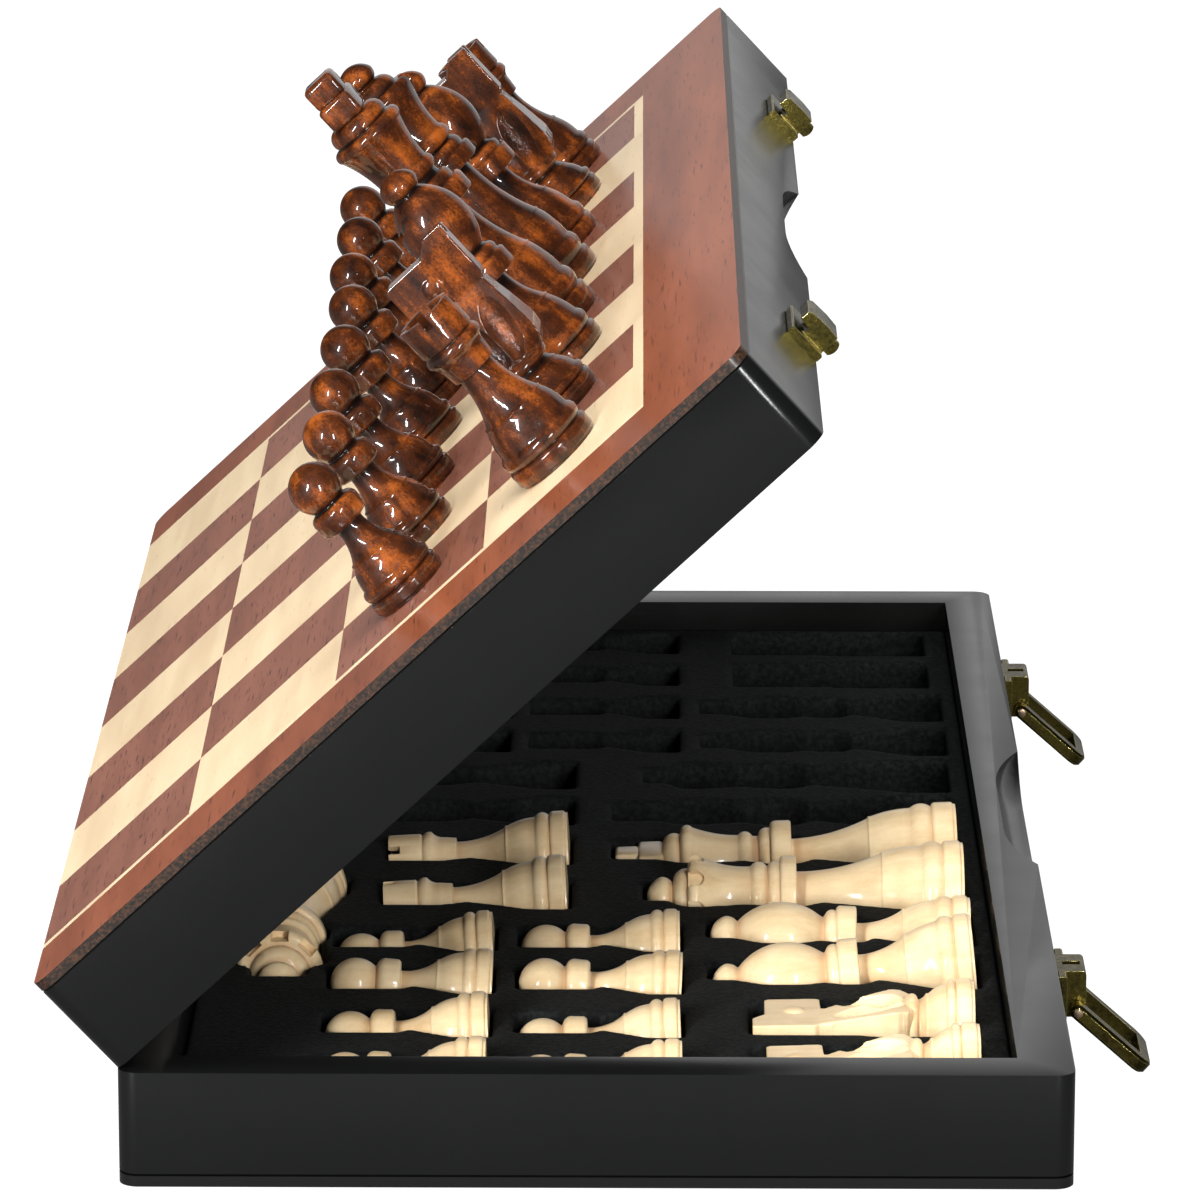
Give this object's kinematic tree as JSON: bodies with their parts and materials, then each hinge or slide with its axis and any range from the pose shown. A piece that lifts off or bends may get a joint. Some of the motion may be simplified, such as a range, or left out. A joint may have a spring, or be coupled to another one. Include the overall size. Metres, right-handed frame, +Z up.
{
  "type": "folding chess set with board",
  "caption": "Folding magnetic chess box with an inlaid board, foam-lined trays, brass latches, and turned light and dark wooden chess pieces.",
  "frame": {"origin": "middle of the base tray's flat underside, which rests on the table", "axes": "+Z up; +X from the hinge side to the latch side; +Y along the box from the end where the light army is stored to the other end"},
  "size_m": [0.2264, 0.381, 0.1945],
  "materials": {
    "black_frame": "satin",
    "mahogany_board": "satin",
    "maple": "satin",
    "rosewood": "satin",
    "foam": "matte",
    "antique_brass": "satin",
    "bright_steel": "polished",
    "boxwood": "satin",
    "dark_wood": "gloss"
  },
  "bodies": {
    "base": {"base_hinge_rail": "black_frame", "base_latch_rail": "black_frame", "base_end_rails": "black_frame", "base_board_panel": "mahogany_board", "base_maple_inlay": "maple", "base_dark_squares": "rosewood", "base_foam_insert": "foam", "base_hinge_leaves": "antique_brass", "hinge_pins": "bright_steel", "base_hinge_screws": "bright_steel", "latch_blocks": "antique_brass", "latch_pins": "bright_steel"},
    "lid": {"lid_hinge_rail": "black_frame", "lid_latch_rail": "black_frame", "lid_end_rails": "black_frame", "lid_board_panel": "mahogany_board", "lid_maple_inlay": "maple", "lid_dark_squares": "rosewood", "lid_foam_pad": "foam", "lid_hinge_leaves": "antique_brass", "lid_hinge_screws": "bright_steel", "lid_catches": "antique_brass", "catch_rivets": "bright_steel"},
    "near_latch_loop": {"near_latch_loop": "antique_brass"},
    "far_latch_loop": {"far_latch_loop": "antique_brass"},
    "light_king": {"light_king": "boxwood"},
    "light_queen": {"light_queen": "boxwood"},
    "light_spare_queen": {"light_spare_queen": "boxwood"},
    "light_bishop_1": {"light_bishop_1": "boxwood"},
    "light_bishop_2": {"light_bishop_2": "boxwood"},
    "light_knight_1": {"light_knight_1": "boxwood"},
    "light_knight_2": {"light_knight_2": "boxwood"},
    "light_rook_1": {"light_rook_1": "boxwood"},
    "light_rook_2": {"light_rook_2": "boxwood"},
    "light_pawn_1": {"light_pawn_1": "boxwood"},
    "light_pawn_2": {"light_pawn_2": "boxwood"},
    "light_pawn_3": {"light_pawn_3": "boxwood"},
    "light_pawn_4": {"light_pawn_4": "boxwood"},
    "light_pawn_5": {"light_pawn_5": "boxwood"},
    "light_pawn_6": {"light_pawn_6": "boxwood"},
    "light_pawn_7": {"light_pawn_7": "boxwood"},
    "light_pawn_8": {"light_pawn_8": "boxwood"},
    "dark_king": {"dark_king": "dark_wood"},
    "dark_queen": {"dark_queen": "dark_wood"},
    "dark_spare_queen": {"dark_spare_queen": "dark_wood"},
    "dark_bishop_1": {"dark_bishop_1": "dark_wood"},
    "dark_bishop_2": {"dark_bishop_2": "dark_wood"},
    "dark_knight_1": {"dark_knight_1": "dark_wood"},
    "dark_knight_2": {"dark_knight_2": "dark_wood"},
    "dark_rook_1": {"dark_rook_1": "dark_wood"},
    "dark_rook_2": {"dark_rook_2": "dark_wood"},
    "dark_pawn_1": {"dark_pawn_1": "dark_wood"},
    "dark_pawn_2": {"dark_pawn_2": "dark_wood"},
    "dark_pawn_3": {"dark_pawn_3": "dark_wood"},
    "dark_pawn_4": {"dark_pawn_4": "dark_wood"},
    "dark_pawn_5": {"dark_pawn_5": "dark_wood"},
    "dark_pawn_6": {"dark_pawn_6": "dark_wood"},
    "dark_pawn_7": {"dark_pawn_7": "dark_wood"},
    "dark_pawn_8": {"dark_pawn_8": "dark_wood"}
  },
  "joints": [
    {"name": "lid_hinge", "type": "hinge", "parent": "base", "child": "lid", "pos_m": [-0.09535, 0, 0.0239], "axis": [0, -1, 0], "range_deg": [-43, 137]},
    {"name": "near_latch_pivot", "type": "hinge", "parent": "base", "child": "near_latch_loop", "pos_m": [0.09945, -0.116, 0.0159], "axis": [0, -1, 0], "range_deg": [0, 131.5]},
    {"name": "far_latch_pivot", "type": "hinge", "parent": "base", "child": "far_latch_loop", "pos_m": [0.09945, 0.116, 0.0159], "axis": [0, -1, 0], "range_deg": [0, 131.5]},
    {"name": "light_king_lift", "type": "slide", "parent": "base", "child": "light_king", "axis": [0, 0, 1], "range_m": [0, 0.03]},
    {"name": "light_queen_lift", "type": "slide", "parent": "base", "child": "light_queen", "axis": [0, 0, 1], "range_m": [0, 0.03]},
    {"name": "light_spare_queen_lift", "type": "slide", "parent": "base", "child": "light_spare_queen", "axis": [0, 0, 1], "range_m": [0, 0.02]},
    {"name": "light_bishop_1_lift", "type": "slide", "parent": "base", "child": "light_bishop_1", "axis": [0, 0, 1], "range_m": [0, 0.03]},
    {"name": "light_bishop_2_lift", "type": "slide", "parent": "base", "child": "light_bishop_2", "axis": [0, 0, 1], "range_m": [0, 0.03]},
    {"name": "light_knight_1_lift", "type": "slide", "parent": "base", "child": "light_knight_1", "axis": [0, 0, 1], "range_m": [0, 0.03]},
    {"name": "light_knight_2_lift", "type": "slide", "parent": "base", "child": "light_knight_2", "axis": [0, 0, 1], "range_m": [0, 0.03]},
    {"name": "light_rook_1_lift", "type": "slide", "parent": "base", "child": "light_rook_1", "axis": [0, 0, 1], "range_m": [0, 0.03]},
    {"name": "light_rook_2_lift", "type": "slide", "parent": "base", "child": "light_rook_2", "axis": [0, 0, 1], "range_m": [0, 0.03]},
    {"name": "light_pawn_1_lift", "type": "slide", "parent": "base", "child": "light_pawn_1", "axis": [0, 0, 1], "range_m": [0, 0.03]},
    {"name": "light_pawn_2_lift", "type": "slide", "parent": "base", "child": "light_pawn_2", "axis": [0, 0, 1], "range_m": [0, 0.03]},
    {"name": "light_pawn_3_lift", "type": "slide", "parent": "base", "child": "light_pawn_3", "axis": [0, 0, 1], "range_m": [0, 0.03]},
    {"name": "light_pawn_4_lift", "type": "slide", "parent": "base", "child": "light_pawn_4", "axis": [0, 0, 1], "range_m": [0, 0.03]},
    {"name": "light_pawn_5_lift", "type": "slide", "parent": "base", "child": "light_pawn_5", "axis": [0, 0, 1], "range_m": [0, 0.03]},
    {"name": "light_pawn_6_lift", "type": "slide", "parent": "base", "child": "light_pawn_6", "axis": [0, 0, 1], "range_m": [0, 0.03]},
    {"name": "light_pawn_7_lift", "type": "slide", "parent": "base", "child": "light_pawn_7", "axis": [0, 0, 1], "range_m": [0, 0.03]},
    {"name": "light_pawn_8_lift", "type": "slide", "parent": "base", "child": "light_pawn_8", "axis": [0, 0, 1], "range_m": [0, 0.03]},
    {"name": "dark_spare_queen_lift", "type": "slide", "parent": "base", "child": "dark_spare_queen", "axis": [0, 0, 1], "range_m": [0, 0.02]},
    {"name": "dark_king_lift", "type": "slide", "parent": "lid", "child": "dark_king", "axis": [-0.682, 0, 0.7314], "range_m": [0, 0.04]},
    {"name": "dark_queen_lift", "type": "slide", "parent": "lid", "child": "dark_queen", "axis": [-0.682, 0, 0.7314], "range_m": [0, 0.04]},
    {"name": "dark_bishop_1_lift", "type": "slide", "parent": "lid", "child": "dark_bishop_1", "axis": [-0.682, 0, 0.7314], "range_m": [0, 0.04]},
    {"name": "dark_bishop_2_lift", "type": "slide", "parent": "lid", "child": "dark_bishop_2", "axis": [-0.682, 0, 0.7314], "range_m": [0, 0.04]},
    {"name": "dark_knight_1_lift", "type": "slide", "parent": "lid", "child": "dark_knight_1", "axis": [-0.682, 0, 0.7314], "range_m": [0, 0.04]},
    {"name": "dark_knight_2_lift", "type": "slide", "parent": "lid", "child": "dark_knight_2", "axis": [-0.682, 0, 0.7314], "range_m": [0, 0.04]},
    {"name": "dark_rook_1_lift", "type": "slide", "parent": "lid", "child": "dark_rook_1", "axis": [-0.682, 0, 0.7314], "range_m": [0, 0.04]},
    {"name": "dark_rook_2_lift", "type": "slide", "parent": "lid", "child": "dark_rook_2", "axis": [-0.682, 0, 0.7314], "range_m": [0, 0.04]},
    {"name": "dark_pawn_1_lift", "type": "slide", "parent": "lid", "child": "dark_pawn_1", "axis": [-0.682, 0, 0.7314], "range_m": [0, 0.04]},
    {"name": "dark_pawn_2_lift", "type": "slide", "parent": "lid", "child": "dark_pawn_2", "axis": [-0.682, 0, 0.7314], "range_m": [0, 0.04]},
    {"name": "dark_pawn_3_lift", "type": "slide", "parent": "lid", "child": "dark_pawn_3", "axis": [-0.682, 0, 0.7314], "range_m": [0, 0.04]},
    {"name": "dark_pawn_4_lift", "type": "slide", "parent": "lid", "child": "dark_pawn_4", "axis": [-0.682, 0, 0.7314], "range_m": [0, 0.04]},
    {"name": "dark_pawn_5_lift", "type": "slide", "parent": "lid", "child": "dark_pawn_5", "axis": [-0.682, 0, 0.7314], "range_m": [0, 0.04]},
    {"name": "dark_pawn_6_lift", "type": "slide", "parent": "lid", "child": "dark_pawn_6", "axis": [-0.682, 0, 0.7314], "range_m": [0, 0.04]},
    {"name": "dark_pawn_7_lift", "type": "slide", "parent": "lid", "child": "dark_pawn_7", "axis": [-0.682, 0, 0.7314], "range_m": [0, 0.04]},
    {"name": "dark_pawn_8_lift", "type": "slide", "parent": "lid", "child": "dark_pawn_8", "axis": [-0.682, 0, 0.7314], "range_m": [0, 0.04]}
  ]
}
